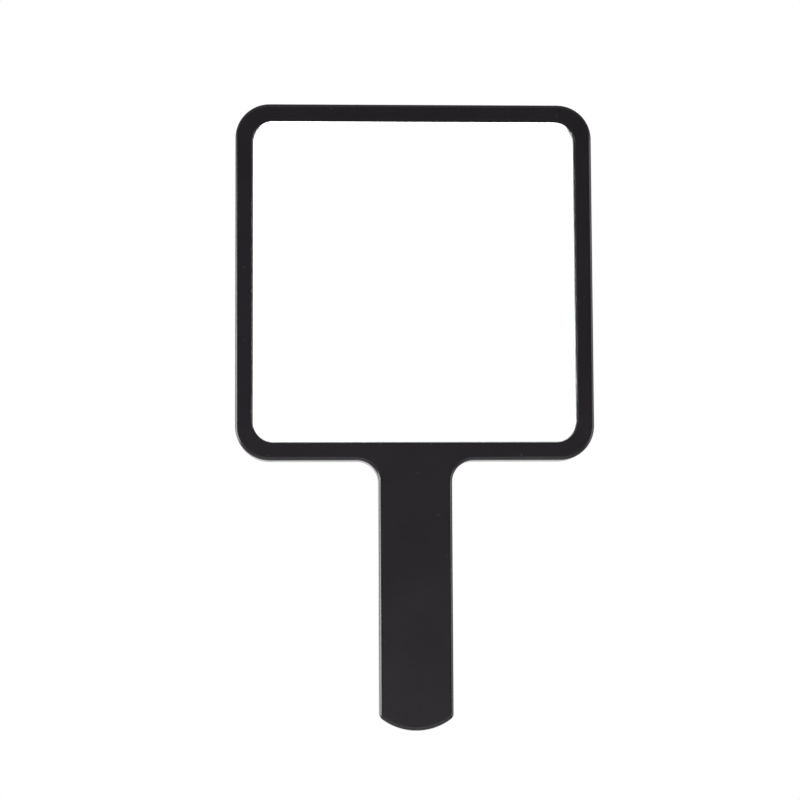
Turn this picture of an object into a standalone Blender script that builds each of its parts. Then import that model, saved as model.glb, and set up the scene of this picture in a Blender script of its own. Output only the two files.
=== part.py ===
"""Hand mirror with a square head: a silvered pane taped into a moulded frame, and a cover behind it.

Metres, +Z up the handle towards the head, mirror facing -Y, origin at the middle of the grip.
Pieces: front_frame, rear_cover, mirror_glass, silver_coating and four foam_strip_* pads.
"""

import math

import bmesh
import bpy

# Overall size
TOTAL_HEIGHT = 0.160
HEAD_WIDTH = 0.0916
HEAD_HEIGHT = 0.0918
HANDLE_WIDTH = 0.0187
THICKNESS = 0.0080
GAP = 0.0003  # clearance between neighbouring pieces

# Outline
HEAD_CORNER = 0.0088
NECK_FILLET = 0.0055
END_ARC = 0.0146  # shallow arc across the end of the handle
END_CORNER = 0.0018  # rounding between that arc and the handle's sides
SHARPEST_CORNER = 0.0003  # least rounding left in the handle's hollow
ARC_STEPS = 16  # straight facets in each quarter turn

# Recess in the front frame, where the pane sits almost level with the bezel
SIDE_BAR = 0.00425
TOP_BAR = 0.00455
BOTTOM_BAR = 0.0045
WINDOW_CORNER = 0.0056
WINDOW_EDGE = 0.00015  # rounding of the recess's front edge

# Depths, measured from front to back
FRAME_DEPTH = 0.0060
FRONT_EDGE = 0.0009
REAR_EDGE = 0.0013
EDGE_STEPS = 6
PARTING_EDGE = 0.0002  # chamfer of both shells where they meet
COVER_FLOOR = 0.0014
PANE_DEPTH = 0.0002  # the pane's front below the bezel
PANE_THICKNESS = 0.0012
PANE_CHAMFER = 0.0002
COATING_THICKNESS = 0.0003
COATING_INSET = 0.0002
FOAM_THICKNESS = 0.0005
TRAY = 0.0010  # the frame's web behind the pane

# Shell interior
FACE_WALL = 0.0016
HANDLE_WALL = 0.0018
TONGUE_WALL = 0.0012
TONGUE_OUT = 0.0015  # the cover's tongue stands outside the recess's outline by this
RIB = 0.0010
HANDLE_RIBS = 5
WAFFLE_HALF = 0.0260  # half the side of the rib grid behind the web
WAFFLE_LINES = 4
SNAP_LENGTH = 0.0080
SNAP_REACH = 0.0009
SNAP_HEIGHT = 0.0005
SNAP_SPACING = 0.0500
PIN_RADIUS = 0.0012
PIN_SPACING = 0.0360
SOCKET_WALL = 0.0009
PIN_STEPS = 16

# Strips of foam tape that bond the coated pane to the web
FOAM_WIDTH = 0.0080
FOAM_CENTRE = 0.0340  # from the head's centre to the middle of a strip
FOAM_LONG = 0.0760
FOAM_SHORT = 0.0540
FOAM_CORNER = 0.0010

# Derived places
TOP = TOTAL_HEIGHT - (TOTAL_HEIGHT - HEAD_HEIGHT) / 2
HEAD_BOTTOM = TOP - HEAD_HEIGHT
HANDLE_END = TOP - TOTAL_HEIGHT
FRONT = -THICKNESS / 2
BACK = THICKNESS / 2
PARTING = FRONT + FRAME_DEPTH
WINDOW_WIDTH = HEAD_WIDTH - 2 * SIDE_BAR
WINDOW_HEIGHT = HEAD_HEIGHT - TOP_BAR - BOTTOM_BAR
WINDOW_Z = HEAD_BOTTOM + BOTTOM_BAR + WINDOW_HEIGHT / 2
PANE_FRONT = FRONT + PANE_DEPTH
PANE_BACK = PANE_FRONT + PANE_THICKNESS
COATING_BACK = PANE_BACK + GAP + COATING_THICKNESS
FOAM_FRONT = COATING_BACK + GAP
FOAM_BACK = FOAM_FRONT + FOAM_THICKNESS
TRAY_FRONT = FOAM_BACK + GAP
TRAY_BACK = TRAY_FRONT + TRAY
SUPPORT = TRAY_BACK + GAP  # where the cover's tongue and ribs meet the web
FLOOR = BACK - COVER_FLOOR
OVERRUN = 0.0010  # how far a cutter or a joined shape runs past the surface it meets

# Materials: base colour, roughness, metallic
BLACK_ABS = ("black_abs", (0.017, 0.017, 0.018), 0.40, 0.0)
CLEAR_GLASS = ("clear_glass", (0.86, 0.93, 0.90), 0.02, 0.0)
SILVER = ("silver", (0.92, 0.93, 0.93), 0.04, 1.0)
WHITE_FOAM = ("white_foam", (0.80, 0.80, 0.78), 0.90, 0.0)


def clear_scene():
    for old in list(bpy.data.objects):
        bpy.data.objects.remove(old)


def material(name, colour, roughness, metallic):
    made = bpy.data.materials.new(name)
    made.use_nodes = True
    shader = made.node_tree.nodes["Principled BSDF"]
    shader.inputs["Base Color"].default_value = (*colour, 1.0)
    shader.inputs["Roughness"].default_value = roughness
    shader.inputs["Metallic"].default_value = metallic
    return made


# Outlines are lists of (x, z) points, clockwise as seen from the front.


def arc(centre, radius, start, end, steps=ARC_STEPS):
    """Points along a circular arc, both ends included; angles in degrees from +X towards +Z."""
    turns = [math.radians(start + (end - start) * i / steps) for i in range(steps + 1)]
    return [(centre[0] + radius * math.cos(t), centre[1] + radius * math.sin(t)) for t in turns]


def rounded_rectangle(width, height, radius, centre_z, centre_x=0.0):
    x, z = width / 2 - radius, height / 2 - radius
    corners = [(x, z, 90), (x, -z, 0), (-x, -z, -90), (-x, z, -180)]
    points = []
    for dx, dz, start in corners:
        points += arc((centre_x + dx, centre_z + dz), radius, start, start - 90)
    return points


def circle(radius, centre_z):
    turns = [2 * math.pi * i / PIN_STEPS for i in range(PIN_STEPS)]
    return [(radius * math.sin(t), centre_z + radius * math.cos(t)) for t in turns]


def handle_end_half(inset):
    """The right half of the handle's rounded end, down to the centre line."""
    corner_radius = max(END_CORNER - inset, SHARPEST_CORNER)
    end_radius = END_ARC - inset
    end_centre = HANDLE_END + END_ARC
    across = HANDLE_WIDTH / 2 - inset - corner_radius
    down = math.sqrt((end_radius - corner_radius) ** 2 - across**2)
    join = -math.degrees(math.atan2(down, across))
    corner = arc((across, end_centre - down), corner_radius, 0, join, ARC_STEPS // 2)
    return corner + arc((0, end_centre), end_radius, join, -90)[1:]


def mirrored(right_half):
    """A closed outline from its right half, whose last point lies on the centre line."""
    return right_half + [(-x, z) for x, z in reversed(right_half[:-1])]


def body_outline(inset=0.0):
    """Head, neck and handle in one line, moved inwards by inset."""
    corner_x = HEAD_WIDTH / 2 - HEAD_CORNER
    neck = (HANDLE_WIDTH / 2 + NECK_FILLET, HEAD_BOTTOM - NECK_FILLET)
    right = arc((corner_x, TOP - HEAD_CORNER), HEAD_CORNER - inset, 90, 0)
    right += arc((corner_x, HEAD_BOTTOM + HEAD_CORNER), HEAD_CORNER - inset, 0, -90)
    right += arc(neck, NECK_FILLET + inset, 90, 180)
    right += handle_end_half(inset)
    return mirrored(right)


def head_outline(grow):
    """The outline of the frame's recess, made larger all round by grow."""
    radius = WINDOW_CORNER + grow
    return rounded_rectangle(WINDOW_WIDTH + 2 * grow, WINDOW_HEIGHT + 2 * grow, radius, WINDOW_Z)


def handle_outline(inset):
    """The hollow of the handle: square at the neck, following the rounded end below."""
    neck_corner = (HANDLE_WIDTH / 2 - inset, HEAD_BOTTOM - inset)
    return mirrored([neck_corner] + handle_end_half(inset))


def box_outline(width, height, centre_x, centre_z):
    x, z = width / 2, height / 2
    corners = [(x, z), (x, -z), (-x, -z), (-x, z)]
    return [(centre_x + dx, centre_z + dz) for dx, dz in corners]


# Solids


def loft(name, rings):
    """A closed solid through rings of (outline, y), with a flat cap at each end."""
    mesh = bmesh.new()
    loops = [[mesh.verts.new((x, y, z)) for x, z in outline] for outline, y in rings]
    for near, far in zip(loops, loops[1:]):
        for i in range(len(near)):
            j = (i + 1) % len(near)
            mesh.faces.new((near[i], near[j], far[j], far[i]))
    mesh.faces.new(loops[0])
    mesh.faces.new(list(reversed(loops[-1])))
    bmesh.ops.recalc_face_normals(mesh, faces=mesh.faces)
    data = bpy.data.meshes.new(name)
    mesh.to_mesh(data)
    mesh.free()
    made = bpy.data.objects.new(name, data)
    bpy.context.scene.collection.objects.link(made)
    return made


def prism(name, outline, start, end):
    return loft(name, [(outline, start), (outline, end)])


def combine(target, tool, operation):
    """Adds a Boolean to target; the tool is only a guide shape."""
    tool.hide_render = True
    tool.display_type = "WIRE"
    tool.parent = target
    step = target.modifiers.new(tool.name, "BOOLEAN")
    step.object = tool
    step.operation = operation
    step.solver = "EXACT"


def edge_rings(outline_at, edge_y, radius, inward):
    """Rings round a quarter-circle edge, from the flat face at edge_y to the straight side."""
    rings = []
    for i in range(EDGE_STEPS + 1):
        turn = math.radians(90 * i / EDGE_STEPS)
        inset = radius * (1 - math.sin(turn))
        rings.append((outline_at(inset), edge_y + inward * radius * (1 - math.cos(turn))))
    return rings


def finish(piece, look):
    piece.data.materials.append(look)
    piece.data.shade_smooth()
    piece.data.set_sharp_from_angle(angle=math.radians(30))
    return piece


def pin_places():
    middle = (HEAD_BOTTOM + HANDLE_END) / 2
    return [middle - PIN_SPACING / 2, middle + PIN_SPACING / 2]


def snap_outlines(reach, length):
    """One box for each snap, standing out from the tongue by reach: two on each side of the head."""
    tongue_x = WINDOW_WIDTH / 2 + TONGUE_OUT
    tongue_z = WINDOW_HEIGHT / 2 + TONGUE_OUT
    boxes = []
    for along in (-SNAP_SPACING / 2, SNAP_SPACING / 2):
        for side in (-1, 1):
            out_x = side * (tongue_x + (reach - TONGUE_WALL / 2) / 2)
            out_z = side * (tongue_z + (reach - TONGUE_WALL / 2) / 2)
            depth = reach + TONGUE_WALL / 2
            boxes.append(box_outline(depth, length, out_x, WINDOW_Z + along))
            boxes.append(box_outline(length, depth, along, WINDOW_Z + out_z))
    return boxes


def front_frame(look):
    """The bezel with its recess, the neck and the front half of the handle, open at the back."""
    rings = edge_rings(body_outline, FRONT, FRONT_EDGE, 1)
    rings += [(body_outline(), PARTING - PARTING_EDGE), (body_outline(PARTING_EDGE), PARTING)]
    frame = loft("front_frame", rings)
    past_back = PARTING + OVERRUN

    flare = [(head_outline(WINDOW_EDGE), FRONT - OVERRUN)]
    for i in range(EDGE_STEPS, -1, -1):
        turn = math.radians(90 * i / EDGE_STEPS)
        grow = WINDOW_EDGE * (1 - math.cos(turn))
        flare.append((head_outline(grow), FRONT + WINDOW_EDGE * (1 - math.sin(turn))))
    flare.append((head_outline(0.0), TRAY_FRONT))
    combine(frame, loft("recess_cut", flare), "DIFFERENCE")

    pocket = prism("cover_pocket_cut", head_outline(TONGUE_OUT + GAP), TRAY_BACK, past_back)
    combine(frame, pocket, "DIFFERENCE")
    hollow = prism("handle_cut", handle_outline(HANDLE_WALL), FRONT + FACE_WALL, past_back)
    combine(frame, hollow, "DIFFERENCE")

    inner_width = HANDLE_WIDTH - 2 * HANDLE_WALL + OVERRUN
    rib_front, rib_back = FRONT + FACE_WALL / 2, SUPPORT - RIB
    low, high = HANDLE_END + HANDLE_WALL, HEAD_BOTTOM - HANDLE_WALL
    for i in range(HANDLE_RIBS):
        z = low + (high - low) * (i + 0.5) / HANDLE_RIBS
        rib = box_outline(inner_width, RIB, 0.0, z)
        combine(frame, prism(f"front_rib_{i}", rib, rib_front, rib_back), "UNION")

    for i, z in enumerate(pin_places()):
        bore = PIN_RADIUS + GAP
        socket = prism(f"socket_{i}", circle(bore + SOCKET_WALL, z), rib_front, PARTING - OVERRUN)
        combine(frame, socket, "UNION")
        hole = prism(f"socket_bore_{i}", circle(bore, z), FRONT + FACE_WALL, past_back)
        combine(frame, hole, "DIFFERENCE")

    groove_front, groove_back = SUPPORT - GAP, SUPPORT + SNAP_HEIGHT + 2 * GAP
    for i, outline in enumerate(snap_outlines(SNAP_REACH + GAP, SNAP_LENGTH + 2 * GAP)):
        groove = prism(f"snap_groove_{i}", outline, groove_front, groove_back)
        combine(frame, groove, "DIFFERENCE")
    return finish(frame, look)


def rear_cover(look):
    """The back of the casing: a ribbed floor with a tongue that snaps into the front frame."""
    seam = PARTING + GAP
    rings = edge_rings(body_outline, BACK, REAR_EDGE, -1)
    rings += [(body_outline(), seam + PARTING_EDGE), (body_outline(PARTING_EDGE), seam)]
    cover = loft("rear_cover", rings)

    into_floor = FLOOR + COVER_FLOOR / 2
    tongues = {
        "head": (head_outline(TONGUE_OUT), head_outline(TONGUE_OUT - TONGUE_WALL)),
        "handle": (
            handle_outline(HANDLE_WALL + GAP),
            handle_outline(HANDLE_WALL + GAP + TONGUE_WALL),
        ),
    }
    for place, (outer, inner) in tongues.items():
        combine(cover, prism(f"{place}_tongue", outer, SUPPORT, into_floor), "UNION")
        combine(cover, prism(f"{place}_hollow", inner, SUPPORT - OVERRUN, FLOOR), "DIFFERENCE")

    for i, outline in enumerate(snap_outlines(SNAP_REACH, SNAP_LENGTH)):
        snap_front = SUPPORT + GAP
        combine(cover, prism(f"snap_{i}", outline, snap_front, snap_front + SNAP_HEIGHT), "UNION")

    for i in range(WAFFLE_LINES):
        across = WAFFLE_HALF * (2 * i / (WAFFLE_LINES - 1) - 1)
        length = 2 * WAFFLE_HALF + RIB
        upright = box_outline(RIB, length, across, WINDOW_Z)
        level = box_outline(length, RIB, 0.0, WINDOW_Z + across)
        combine(cover, prism(f"upright_rib_{i}", upright, SUPPORT, into_floor), "UNION")
        combine(cover, prism(f"level_rib_{i}", level, SUPPORT, into_floor), "UNION")

    for i, z in enumerate(pin_places()):
        pin = prism(f"pin_{i}", circle(PIN_RADIUS, z), FRONT + FACE_WALL + GAP, into_floor)
        combine(cover, pin, "UNION")
    return finish(cover, look)


def mirror_glass(look):
    """The pane: thin float glass with a small ground chamfer round both faces."""
    edge, flat = head_outline(-GAP), head_outline(-GAP - PANE_CHAMFER)
    rings = [
        (flat, PANE_FRONT),
        (edge, PANE_FRONT + PANE_CHAMFER),
        (edge, PANE_BACK - PANE_CHAMFER),
        (flat, PANE_BACK),
    ]
    return finish(loft("mirror_glass", rings), look)


def silver_coating(look):
    """The silver layer and its backing paint, just behind the pane."""
    outline = head_outline(-GAP - COATING_INSET)
    return finish(prism("silver_coating", outline, PANE_BACK + GAP, COATING_BACK), look)


def foam_strip(side, look):
    """One strip of double-sided foam tape between the coated pane and the frame's web."""
    across = {"left": -1, "right": 1}.get(side, 0) * FOAM_CENTRE
    up = {"bottom": -1, "top": 1}.get(side, 0) * FOAM_CENTRE
    width, height = (FOAM_WIDTH, FOAM_SHORT) if across else (FOAM_LONG, FOAM_WIDTH)
    outline = rounded_rectangle(width, height, FOAM_CORNER, WINDOW_Z + up, across)
    return finish(prism(f"foam_strip_{side}", outline, FOAM_FRONT, FOAM_BACK), look)


def main():
    clear_scene()
    plastic = material(*BLACK_ABS)
    frame = front_frame(plastic)
    pieces = [
        rear_cover(plastic),
        mirror_glass(material(*CLEAR_GLASS)),
        silver_coating(material(*SILVER)),
    ]
    foam = material(*WHITE_FOAM)
    pieces += [foam_strip(side, foam) for side in ("top", "bottom", "left", "right")]
    for piece in pieces:
        piece.parent = frame


main()
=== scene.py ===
"""The looks of the hand mirror, in a white studio.

Satin black plastic, a silvered glass pane and foam tape. Metres, mirror facing -Y.
"""

import math

import bmesh
import bpy
from mathutils import Matrix, Vector


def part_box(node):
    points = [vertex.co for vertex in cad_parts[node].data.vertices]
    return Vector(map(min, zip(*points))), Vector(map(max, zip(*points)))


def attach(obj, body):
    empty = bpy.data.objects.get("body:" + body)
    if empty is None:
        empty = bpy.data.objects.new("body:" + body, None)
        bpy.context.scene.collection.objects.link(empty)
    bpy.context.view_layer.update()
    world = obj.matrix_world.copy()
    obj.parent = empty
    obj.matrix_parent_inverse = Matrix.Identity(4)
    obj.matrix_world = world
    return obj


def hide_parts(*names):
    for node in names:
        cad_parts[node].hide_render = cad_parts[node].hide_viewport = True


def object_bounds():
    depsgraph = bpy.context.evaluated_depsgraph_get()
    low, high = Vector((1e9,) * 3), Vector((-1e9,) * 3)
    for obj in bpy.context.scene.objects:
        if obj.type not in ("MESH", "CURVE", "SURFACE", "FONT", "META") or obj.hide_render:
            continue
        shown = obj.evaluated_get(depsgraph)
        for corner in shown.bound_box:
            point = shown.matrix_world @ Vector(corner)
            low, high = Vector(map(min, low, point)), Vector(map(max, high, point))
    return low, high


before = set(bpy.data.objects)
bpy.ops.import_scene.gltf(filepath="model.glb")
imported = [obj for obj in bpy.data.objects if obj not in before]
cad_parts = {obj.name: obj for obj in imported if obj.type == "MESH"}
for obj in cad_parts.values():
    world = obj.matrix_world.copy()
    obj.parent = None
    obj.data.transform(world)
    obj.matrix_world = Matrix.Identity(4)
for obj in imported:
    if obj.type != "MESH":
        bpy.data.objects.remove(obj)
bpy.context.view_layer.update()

BODY = "root"

# The camera stands low and a little to the left, and looks up at the mirror.
CAMERA_AT = Vector((-0.0298, -0.5971, -0.0029))
CAMERA_AIM = Vector((-0.0037, 0.0, 0.0498))
CAMERA_ROLL = -0.0046
LENS_MM = 105.37
SENSOR_MM = 36.0
CLIP_NEAR = 0.01
CLIP_FAR = 100.0

WELD = 1e-6
CREASE = math.radians(32)
FOAM_CREASE = math.radians(50)
FACE_WEIGHT = 70  # how far large faces decide the normals of the roundings beside them


# ---------------------------------------------------------------- node trees

# The mix node repeats its socket names for each data type, so its colour sockets go by number.
MIX_SHARE = 0
MIX_FIRST = 6
MIX_SECOND = 7
MIX_RESULT = 2


class Shader:
    """A material's node tree, built with short calls."""

    def __init__(self, name):
        self.material = bpy.data.materials.new(name)
        self.material.use_nodes = True
        self.tree = self.material.node_tree
        self.surface = self.tree.nodes["Principled BSDF"]
        self.place = self.add("ShaderNodeTexCoord").outputs["Object"]

    def add(self, kind, values=None, **settings):
        node = self.tree.nodes.new(kind)
        for key, value in settings.items():
            setattr(node, key, value)
        for key, value in (values or {}).items():
            self.put(node.inputs[key], value)
        return node

    def put(self, socket, value):
        if isinstance(value, bpy.types.NodeSocket):
            self.tree.links.new(value, socket)
        else:
            socket.default_value = value

    def set(self, **values):
        for key, value in values.items():
            self.put(self.surface.inputs[key.replace("_", " ")], value)

    def noise(self, size, detail=2.0, rough=0.5, stretch=(1, 1, 1)):
        """Noise whose features are about size metres across, times stretch."""
        scale = [1 / (size * s) for s in stretch]
        place = self.add(
            "ShaderNodeMapping", {"Vector": self.place, "Scale": scale}
        ).outputs["Vector"]
        values = {"Vector": place, "Scale": 1.0, "Detail": detail, "Roughness": rough}
        return self.add("ShaderNodeTexNoise", values).outputs["Fac"]

    def cells(self, size):
        """Distance to the nearest of many points about size metres apart, in units of size."""
        values = {"Vector": self.place, "Scale": 1 / size}
        return self.add("ShaderNodeTexVoronoi", values).outputs["Distance"]

    def span(self, value, low, high, to_low=0.0, to_high=1.0):
        """Maps low..high of a value to to_low..to_high, and holds it outside."""
        values = {
            "Value": value,
            "From Min": low,
            "From Max": high,
            "To Min": to_low,
            "To Max": to_high,
        }
        return self.add("ShaderNodeMapRange", values).outputs["Result"]

    def math(self, operation, a, b=0.0):
        node = self.add("ShaderNodeMath", operation=operation)
        self.put(node.inputs[0], a)
        self.put(node.inputs[1], b)
        return node.outputs[0]

    def mix(self, share, first, second):
        """Mixes two colours; a share of 0 is the first."""
        node = self.add("ShaderNodeMix", data_type="RGBA")
        self.put(node.inputs[MIX_SHARE], share)
        self.put(node.inputs[MIX_FIRST], first)
        self.put(node.inputs[MIX_SECOND], second)
        return node.outputs[MIX_RESULT]

    def bump(self, height, depth, under=None):
        """Bump from a 0..1 height that stands for depth metres."""
        values = {"Height": height, "Distance": depth, "Strength": 1.0}
        if under is not None:
            values["Normal"] = under
        return self.add("ShaderNodeBump", values).outputs["Normal"]

    def facing(self):
        """The normal's share along the thickness: -1 on the front face, 1 on the back."""
        normal = self.add("ShaderNodeNewGeometry").outputs["Normal"]
        axes = self.add("ShaderNodeSeparateXYZ", {"Vector": normal})
        return axes.outputs["Y"]

    def sideways(self):
        """0 on the front and back faces, 1 on the side walls."""
        return self.math("SUBTRACT", 1.0, self.math("ABSOLUTE", self.facing()))

    def rounding(self):
        """1 where the surface turns through 45 degrees between face and side, 0 on both."""
        square = self.math("POWER", self.facing(), 2.0)
        rest = self.math("SUBTRACT", 1.0, square)
        return self.math("MULTIPLY", self.math("MULTIPLY", square, rest), 4.0)


def colour(r, g, b):
    return (r, g, b, 1.0)


def grey(level):
    return colour(level, level, level)


# Most of a noise's values lie in this band, so it is the part that span stretches.
NOISE_BAND = (0.3, 0.7)


# Black ABS. Its colours and specular level are lower than real ABS has, to suit this studio's
# strong side lights: they keep its faces dark and its roundings bright.
BLACK_DEEP = colour(0.0028, 0.0019, 0.0031)
BLACK_PALE = colour(0.0040, 0.0028, 0.0044)
BLACK_WORN = colour(0.02, 0.019, 0.02)
DUST_COLOUR = colour(0.22, 0.21, 0.2)
WEAR = 0.3
DUST = 0.3
CLOUD_SIZE = 0.012
FLOW_SIZE = 0.006
GRAIN_SIZE = 0.00022
TOUCH_SIZE = 0.019
WEAR_SIZE = 0.0016
SPECK_SPACING = 0.0011
DUST_PATCH = 0.0024
ABS_ROUGHNESS = (0.31, 0.35)
TOUCH_ROUGHNESS = (-0.02, 0.03)  # added in broad patches, as handling leaves them
DUST_ROUGHNESS = 0.3
GRAIN_LOST = 0.85  # share of the grain that is missing on the roundings
SIDE_POLISH = 0.2  # how much smoother the side walls are than the faces
GRAIN_DEPTH = 0.0000055
SINK_DEPTH = 0.00001
ABS_SPECULAR = 0.155
ABS_IOR = 1.5


def black_plastic(name):
    """Satin black ABS from a spark-eroded tool.

    Fine grain that fades on the roundings, faint sink, smoother side walls, a little wear and dust.
    """
    look = Shader(name)
    cloud = look.noise(CLOUD_SIZE, detail=3.0)
    flow = look.noise(FLOW_SIZE, detail=2.0, stretch=(0.5, 0.5, 3.0))
    grain = look.noise(GRAIN_SIZE, detail=2.0, rough=0.6)
    touch = look.noise(TOUCH_SIZE, detail=4.0, rough=0.62)
    rim = look.rounding()

    tone = look.mix(look.span(cloud, *NOISE_BAND), BLACK_DEEP, BLACK_PALE)
    worn = look.math("MULTIPLY", rim, look.span(look.noise(WEAR_SIZE, detail=3.0), 0.5, 0.72))
    tone = look.mix(look.math("MULTIPLY", worn, WEAR), tone, BLACK_WORN)
    speck = look.span(look.cells(SPECK_SPACING), 0.07, 0.11, 1.0, 0.0)
    chosen = look.span(look.noise(DUST_PATCH, detail=0.0), 0.71, 0.73)
    dust = look.math("MULTIPLY", look.math("MULTIPLY", speck, chosen), DUST)
    tone = look.mix(dust, tone, DUST_COLOUR)

    matt = look.span(cloud, *NOISE_BAND, *ABS_ROUGHNESS)
    matt = look.math("ADD", matt, look.span(touch, 0.35, 0.7, *TOUCH_ROUGHNESS))
    matt = look.math("SUBTRACT", matt, look.math("MULTIPLY", look.sideways(), SIDE_POLISH))
    matt = look.math("ADD", matt, look.math("MULTIPLY", dust, DUST_ROUGHNESS))

    sink = look.bump(look.math("ADD", cloud, flow), SINK_DEPTH)
    grained = look.math("SUBTRACT", 1.0, look.math("MULTIPLY", rim, GRAIN_LOST))
    relief = look.bump(look.math("MULTIPLY", grain, grained), GRAIN_DEPTH, sink)
    look.set(Base_Color=tone, Roughness=matt, Normal=relief)
    look.set(Specular_IOR_Level=ABS_SPECULAR, IOR=ABS_IOR)
    return look.material


GLASS_GREEN = colour(0.975, 0.99, 0.982)
GLASS_CLEAR = colour(0.985, 0.995, 0.99)
GLASS_IOR = 1.52
TINT_SIZE = 0.02
CLOTH_SIZE = 0.009
CLOTH_HAZE = 0.02
GROUND_SIZE = 0.00012
GROUND_ROUGHNESS = 0.22
GROUND_DEPTH = 0.000002


def float_glass(name):
    """Clear float glass with the faint green of its iron, a few cloth marks and a ground edge."""
    look = Shader(name)
    cloud = look.noise(TINT_SIZE, detail=2.0)
    tint = look.mix(cloud, GLASS_GREEN, GLASS_CLEAR)
    wiped = look.noise(CLOTH_SIZE, detail=4.0, rough=0.6, stretch=(2.5, 1.0, 0.6))
    haze = look.span(wiped, 0.52, 0.8, 0.0, CLOTH_HAZE)
    edge = look.span(look.math("ABSOLUTE", look.facing()), 0.85, 0.97, GROUND_ROUGHNESS, 0.0)
    ground = look.noise(GROUND_SIZE, detail=1.0)
    relief = look.bump(look.math("MULTIPLY", ground, edge), GROUND_DEPTH)
    look.set(Base_Color=tint, Roughness=look.math("ADD", haze, edge), Normal=relief)
    look.set(Transmission_Weight=1.0, IOR=GLASS_IOR)
    return look.material


SILVER_DIM = colour(0.955, 0.96, 0.95)
SILVER_BRIGHT = colour(0.965, 0.968, 0.96)
PAINT_DARK = colour(0.16, 0.17, 0.165)
PAINT_PALE = colour(0.2, 0.205, 0.2)
SILVER_CLOUD = 0.03
SILVER_ROUGHNESS = (0.0, 0.004)
PAINT_CLOUD = 0.002
PAINT_ROUGHNESS = 0.5
HAZE_SIZE = 0.01
PEEL_SIZE = 0.0009
PEEL_DEPTH = 0.00002


def silver_and_paint(name):
    """Silver towards the glass, and grey backing paint with a fine orange peel behind it."""
    look = Shader(name)
    back = look.span(look.facing(), 0.2, 0.5)
    bright = look.mix(look.noise(SILVER_CLOUD), SILVER_DIM, SILVER_BRIGHT)
    paint = look.mix(look.noise(PAINT_CLOUD, detail=4.0), PAINT_DARK, PAINT_PALE)
    peel = look.noise(PEEL_SIZE, detail=2.0)
    relief = look.bump(look.math("MULTIPLY", peel, back), PEEL_DEPTH)
    haze = look.span(look.noise(HAZE_SIZE), *NOISE_BAND, *SILVER_ROUGHNESS)
    matt = look.math("ADD", haze, look.math("MULTIPLY", back, PAINT_ROUGHNESS))
    metal = look.math("SUBTRACT", 1.0, back)
    look.set(Base_Color=look.mix(back, bright, paint), Roughness=matt, Metallic=metal, Normal=relief)
    return look.material


FOAM_YELLOWED = colour(0.72, 0.71, 0.67)
FOAM_WHITE = colour(0.82, 0.81, 0.78)
# Painted shade for the bubble hollows, not a colour of the foam itself.
FOAM_HOLLOW_SHADE = colour(0.5, 0.49, 0.46)
YELLOWING_SIZE = 0.006
BUBBLE_SIZE = 0.00035
BUBBLE_DEPTH = 0.00008
FINE_SIZE = 0.00012
FINE_DEPTH = 0.00002
FOAM_ROUGHNESS = (0.85, 0.97)
FOAM_SPECULAR = 0.25


def white_foam(name):
    """Closed-cell foam tape: small bubbles with painted shade in their hollows, and a slight
    yellowing.
    """
    look = Shader(name)
    bubble = look.cells(BUBBLE_SIZE)
    fine = look.noise(FINE_SIZE, detail=3.0)
    tone = look.mix(look.noise(YELLOWING_SIZE, detail=3.0), FOAM_YELLOWED, FOAM_WHITE)
    # Painted shade: the colour darkens towards each bubble's middle, where the bump below makes a
    # hollow.
    tone = look.mix(look.span(bubble, 0.0, 0.5, 0.45, 0.0), tone, FOAM_HOLLOW_SHADE)
    relief = look.bump(bubble, BUBBLE_DEPTH)
    relief = look.bump(fine, FINE_DEPTH, relief)
    matt = look.span(fine, *NOISE_BAND, *FOAM_ROUGHNESS)
    look.set(Base_Color=tone, Roughness=matt, Normal=relief, Specular_IOR_Level=FOAM_SPECULAR)
    return look.material


# ---------------------------------------------------------------- pieces


def link(name, mesh):
    piece = bpy.data.objects.new(name, mesh)
    bpy.context.scene.collection.objects.link(piece)
    return piece


def mount(piece, node, material):
    """Gives a piece its material and its body, and hides the CAD node it stands for."""
    piece.data.materials.clear()
    piece.data.materials.append(material)
    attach(piece, BODY)
    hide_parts(node)


def welded(node, name):
    """The CAD node's own shape as one closed mesh, smooth on its roundings, flat on its faces."""
    shape = bmesh.new()
    shape.from_mesh(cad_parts[node].data)
    bmesh.ops.remove_doubles(shape, verts=shape.verts, dist=WELD)
    bmesh.ops.recalc_face_normals(shape, faces=shape.faces)
    points = [v.co.copy() for v in shape.verts]
    shape.verts.index_update()
    faces = [[v.index for v in f.verts] for f in shape.faces]
    shape.free()
    mesh = bpy.data.meshes.new(name)
    mesh.from_pydata(points, [], faces)
    mesh.shade_smooth()
    mesh.set_sharp_from_angle(angle=CREASE)
    piece = link(name, mesh)
    even = piece.modifiers.new("even_normals", "WEIGHTED_NORMAL")
    even.mode = "FACE_AREA"
    even.weight = FACE_WEIGHT
    even.keep_sharp = True
    return piece


# The CAD pane has 0.3 mm all round it. Here 0.05 mm is left on three sides of its recess and
# 0.15 mm on the right, and the silver lies close behind its back.
PANE_GROWS_LOW = Vector((0.00025, 0.0, 0.00025))
PANE_GROWS_HIGH = Vector((0.00015, 0.0, 0.00025))
SILVER_INSET = 0.00002
SILVER_GAP = 0.00001


def fit(piece, low, high):
    """Stretches a piece so that its box becomes low..high."""
    points = [v.co for v in piece.data.vertices]
    for i in range(3):
        least = min(p[i] for p in points)
        most = max(p[i] for p in points)
        for p in points:
            p[i] = low[i] + (p[i] - least) * (high[i] - low[i]) / (most - least)
    return piece


# The CAD mouldings are 0.3 mm apart all round. The cover's rim and its chamfer come forward,
# which leaves 0.05 mm.
SEAM_CLOSES = 0.00025
SEAM_DEPTH = 0.00055  # from the front moulding's rim to just behind that chamfer


def tighten_seam(cover):
    """Moves the cover's rim towards the front moulding's."""
    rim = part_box("front_frame")[1].y
    for vertex in cover.data.vertices:
        if rim < vertex.co.y < rim + SEAM_DEPTH:
            vertex.co.y -= SEAM_CLOSES
    return cover


def glass_box():
    """The pane's box, grown towards its recess."""
    low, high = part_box("mirror_glass")
    return low - PANE_GROWS_LOW, high + PANE_GROWS_HIGH


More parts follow.
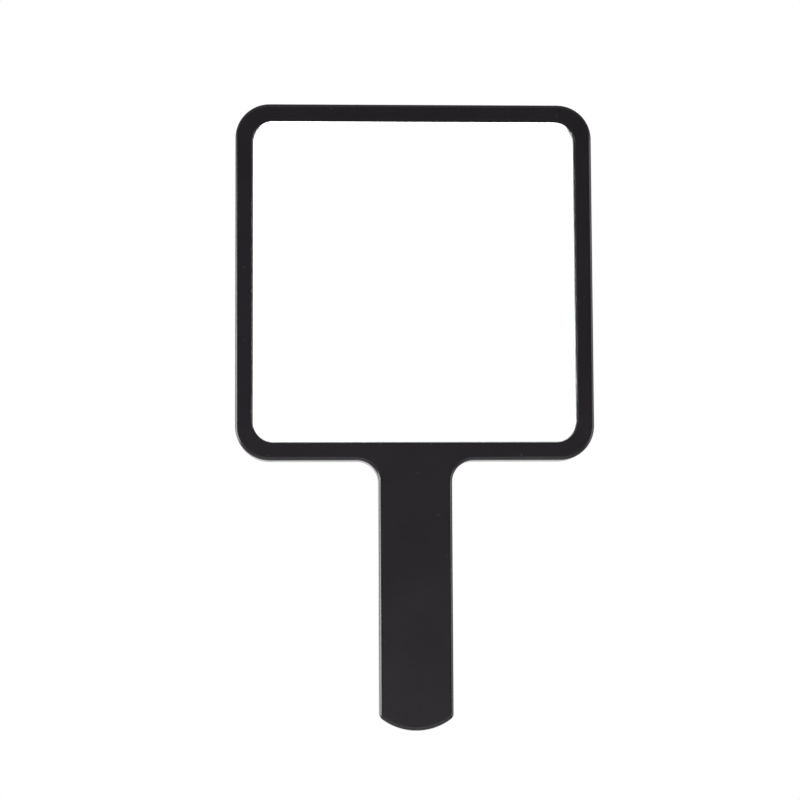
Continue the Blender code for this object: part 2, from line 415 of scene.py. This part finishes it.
def silver_box():
    """The silver's box, from just behind the pane to the CAD layer's back."""
    low, high = glass_box()
    _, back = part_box("silver_coating")
    low = Vector((low.x + SILVER_INSET, high.y + SILVER_GAP, low.z + SILVER_INSET))
    return low, Vector((high.x - SILVER_INSET, back.y, high.z - SILVER_INSET))


# Foam tape between the pane and the web, squeezed so that its sides swell.
FOAM_SIDE_ROWS = 7
FOAM_STEP = 0.0006
FOAM_LEAST_STEPS = 8
FOAM_SQUEEZE = 0.00015
FOAM_RIPPLE = 0.00003
RIPPLE_FAST = 1.7  # radians at each step along the strip
RIPPLE_SLOW = 0.61
RIPPLE_SHIFT = 2.0  # how far the slow ripple leans over the strip's thickness


def foam_strip(node, name):
    """A strip of foam tape with swollen sides, inside its CAD node's box."""
    low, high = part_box(node)
    middle = (low + high) / 2
    half = (high - low) / 2
    along = 2 if half.z > half.x else 0
    across = 0 if along == 2 else 2
    steps = max(FOAM_LEAST_STEPS, round(2 * half[along] / FOAM_STEP))
    ring = []
    for i in range(FOAM_SIDE_ROWS):
        y = -1 + 2 * i / (FOAM_SIDE_ROWS - 1)
        ring.append((1, y))
    for i in range(FOAM_SIDE_ROWS):
        y = 1 - 2 * i / (FOAM_SIDE_ROWS - 1)
        ring.append((-1, y))
    shape = bmesh.new()
    rows = []
    for j in range(steps + 1):
        t = -1 + 2 * j / steps
        end = FOAM_SQUEEZE if j in (0, steps) else 0.0
        row = []
        for side, y in ring:
            swell = FOAM_SQUEEZE * y * y
            fast = math.sin(j * RIPPLE_FAST + side)
            wave = fast * math.sin(j * RIPPLE_SLOW + y * RIPPLE_SHIFT)
            pull = swell + FOAM_RIPPLE * (1 + wave) * (1 - y * y)
            point = middle.copy()
            point[across] += side * (half[across] - pull - end)
            point.y += y * half.y
            point[along] += t * (half[along] - (swell if end else 0.0))
            row.append(shape.verts.new(point))
        rows.append(row)
    count = len(ring)
    for a, b in zip(rows, rows[1:]):
        for k in range(count):
            n = (k + 1) % count
            shape.faces.new((a[k], a[n], b[n], b[k]))
    shape.faces.new(rows[0][::-1])
    shape.faces.new(rows[-1])
    bmesh.ops.recalc_face_normals(shape, faces=shape.faces)
    mesh = bpy.data.meshes.new(name)
    shape.to_mesh(mesh)
    shape.free()
    mesh.shade_smooth()
    mesh.set_sharp_from_angle(angle=FOAM_CREASE)
    return link(name, mesh)


# ---------------------------------------------------------------- studio

# How bright the world is, as a strength, and where it fades along a direction's Y or Z.
BACKGROUND = 1.0
BEHIND = 1.0
FRONT = 0.05
ABOVE = 0.9
BELOW = 0.9
FRONT_TO_BEHIND = (-0.2, 0.5)
LEVEL_TO_ABOVE = (0.25, 0.7)
LEVEL_TO_BELOW = (-0.1, -0.4)

FLOOR_DROP = 1.0
FLOOR_HALF = 1.1
FLOOR_COLOUR = 0.8
FLOOR_PALER = 0.02  # how much paler its cloudy patches are
FLOOR_CLOUD_SIZE = 0.4
FLOOR_ROUGHNESS = 0.9
FLOOR_GLOW = 0.55

MIDDLE = (0, 0, 0.046)  # about the middle of the whole mirror


def make_world():
    """White to the camera. To every other ray: dim in front, bright behind, above and below."""
    world = bpy.data.worlds.new("studio")
    world.use_nodes = True
    bpy.context.scene.world = world
    tree = world.node_tree
    tree.nodes.clear()

    def node(kind, **settings):
        made = tree.nodes.new(kind)
        for key, value in settings.items():
            setattr(made, key, value)
        return made

    def fade(source, between, start, end):
        made = node("ShaderNodeMapRange", interpolation_type="SMOOTHSTEP")
        tree.links.new(source, made.inputs["Value"])
        made.inputs["From Min"].default_value = between[0]
        made.inputs["From Max"].default_value = between[1]
        made.inputs["To Min"].default_value = start
        made.inputs["To Max"].default_value = end
        return made.outputs["Result"]

    direction = node("ShaderNodeTexCoord").outputs["Generated"]
    axes = node("ShaderNodeSeparateXYZ")
    tree.links.new(direction, axes.inputs[0])
    brightest = fade(axes.outputs["Y"], FRONT_TO_BEHIND, FRONT, BEHIND)
    above = fade(axes.outputs["Z"], LEVEL_TO_ABOVE, 0.0, ABOVE)
    below = fade(axes.outputs["Z"], LEVEL_TO_BELOW, 0.0, BELOW)
    for other in (above, below):
        most = node("ShaderNodeMath", operation="MAXIMUM")
        tree.links.new(brightest, most.inputs[0])
        tree.links.new(other, most.inputs[1])
        brightest = most.outputs[0]
    light = node("ShaderNodeBackground")
    tree.links.new(brightest, light.inputs["Strength"])
    white = node("ShaderNodeBackground")
    white.inputs["Strength"].default_value = BACKGROUND
    for background in (light, white):
        background.inputs["Color"].default_value = grey(1.0)
    seen = node("ShaderNodeLightPath")
    mix = node("ShaderNodeMixShader")
    tree.links.new(seen.outputs["Is Camera Ray"], mix.inputs[0])
    tree.links.new(light.outputs[0], mix.inputs[1])
    tree.links.new(white.outputs[0], mix.inputs[2])
    out = node("ShaderNodeOutputWorld")
    tree.links.new(mix.outputs[0], out.inputs["Surface"])


def make_floor():
    """A wide pale floor that glows, well below the mirror."""
    low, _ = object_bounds()
    level = low[2] - FLOOR_DROP
    signs = ((-1, -1), (1, -1), (1, 1), (-1, 1))
    corners = [(x * FLOOR_HALF, y * FLOOR_HALF, level) for x, y in signs]
    mesh = bpy.data.meshes.new("floor")
    mesh.from_pydata(corners, [], [(0, 1, 2, 3)])
    floor = link("floor", mesh)
    look = Shader("pale_floor")
    paler = grey(FLOOR_COLOUR + FLOOR_PALER)
    tone = look.mix(look.noise(FLOOR_CLOUD_SIZE), grey(FLOOR_COLOUR), paler)
    look.set(Base_Color=tone, Roughness=FLOOR_ROUGHNESS, Specular_IOR_Level=0.0)
    look.set(Emission_Color=grey(1.0), Emission_Strength=FLOOR_GLOW)
    mesh.materials.append(look.material)


def area_light(name, at, size, radiance, aim=MIDDLE):
    """A soft rectangular light of that radiance, turned to aim. The camera doesn't see it."""
    data = bpy.data.lights.new(name, "AREA")
    data.shape = "RECTANGLE"
    data.size, data.size_y = size
    data.energy = radiance * math.pi * size[0] * size[1]
    light = bpy.data.objects.new(name, data)
    bpy.context.scene.collection.objects.link(light)
    away = (Vector(at) - Vector(aim)).normalized()
    light.rotation_euler = away.to_track_quat("Z", "Y").to_euler()
    light.location = at
    light.visible_camera = False


def make_lights():
    """The card that the mirror reflects, two below the mirror, and softboxes left, right and above.

    Each line gives a light's place, its width and height, and its radiance.
    """
    area_light("white_card", (0.03, -1.5, 0.195), (0.44, 0.58), 1.22, aim=(0.03, 0, 0.195))
    area_light("low_card", (0.0, -1.1, -0.32), (1.0, 0.4), 2.8)
    area_light("bounce_card", (0.0, -0.3, -0.22), (0.36, 0.22), 2.2, aim=(0, 0, -0.03))
    area_light("left_softbox", (-0.9, -0.12, -0.03), (0.8, 0.55), 28.0)
    area_light("right_softbox", (0.9, -0.3, 0.0), (0.6, 0.8), 11.0)
    area_light("top_softbox", (0.0, -0.95, 1.0), (1.2, 0.5), 2.0)


def make_camera():
    data = bpy.data.cameras.new("camera")
    data.sensor_width = SENSOR_MM
    data.lens = LENS_MM
    data.clip_start = CLIP_NEAR
    data.clip_end = CLIP_FAR
    camera = bpy.data.objects.new("camera", data)
    bpy.context.scene.collection.objects.link(camera)
    forward = (CAMERA_AIM - CAMERA_AT).normalized()
    right = forward.cross(Vector((0, 0, 1))).normalized()
    level = Matrix((right, right.cross(forward), -forward)).transposed()
    turned = level @ Matrix.Rotation(CAMERA_ROLL, 3, "Z")
    camera.matrix_world = Matrix.Translation(CAMERA_AT) @ turned.to_4x4()
    bpy.context.scene.camera = camera


# ---------------------------------------------------------------- the scene

make_camera()

plastic = black_plastic("black_abs_plastic")
glass = float_glass("float_glass")
silver = silver_and_paint("silver_layer")
foam = white_foam("foam_tape")

mount(welded("front_frame", "front_moulding"), "front_frame", plastic)
cover = tighten_seam(welded("rear_cover", "rear_moulding"))
mount(cover, "rear_cover", plastic)
pane = fit(welded("mirror_glass", "glass_pane"), *glass_box())
mount(pane, "mirror_glass", glass)
layer = fit(welded("silver_coating", "silver_layer"), *silver_box())
mount(layer, "silver_coating", silver)
for side in ("top", "bottom", "left", "right"):
    strip = foam_strip("foam_strip_" + side, "foam_tape_" + side)
    mount(strip, "foam_strip_" + side, foam)

make_world()
make_floor()
make_lights()
bpy.context.scene.view_settings.view_transform = "Standard"
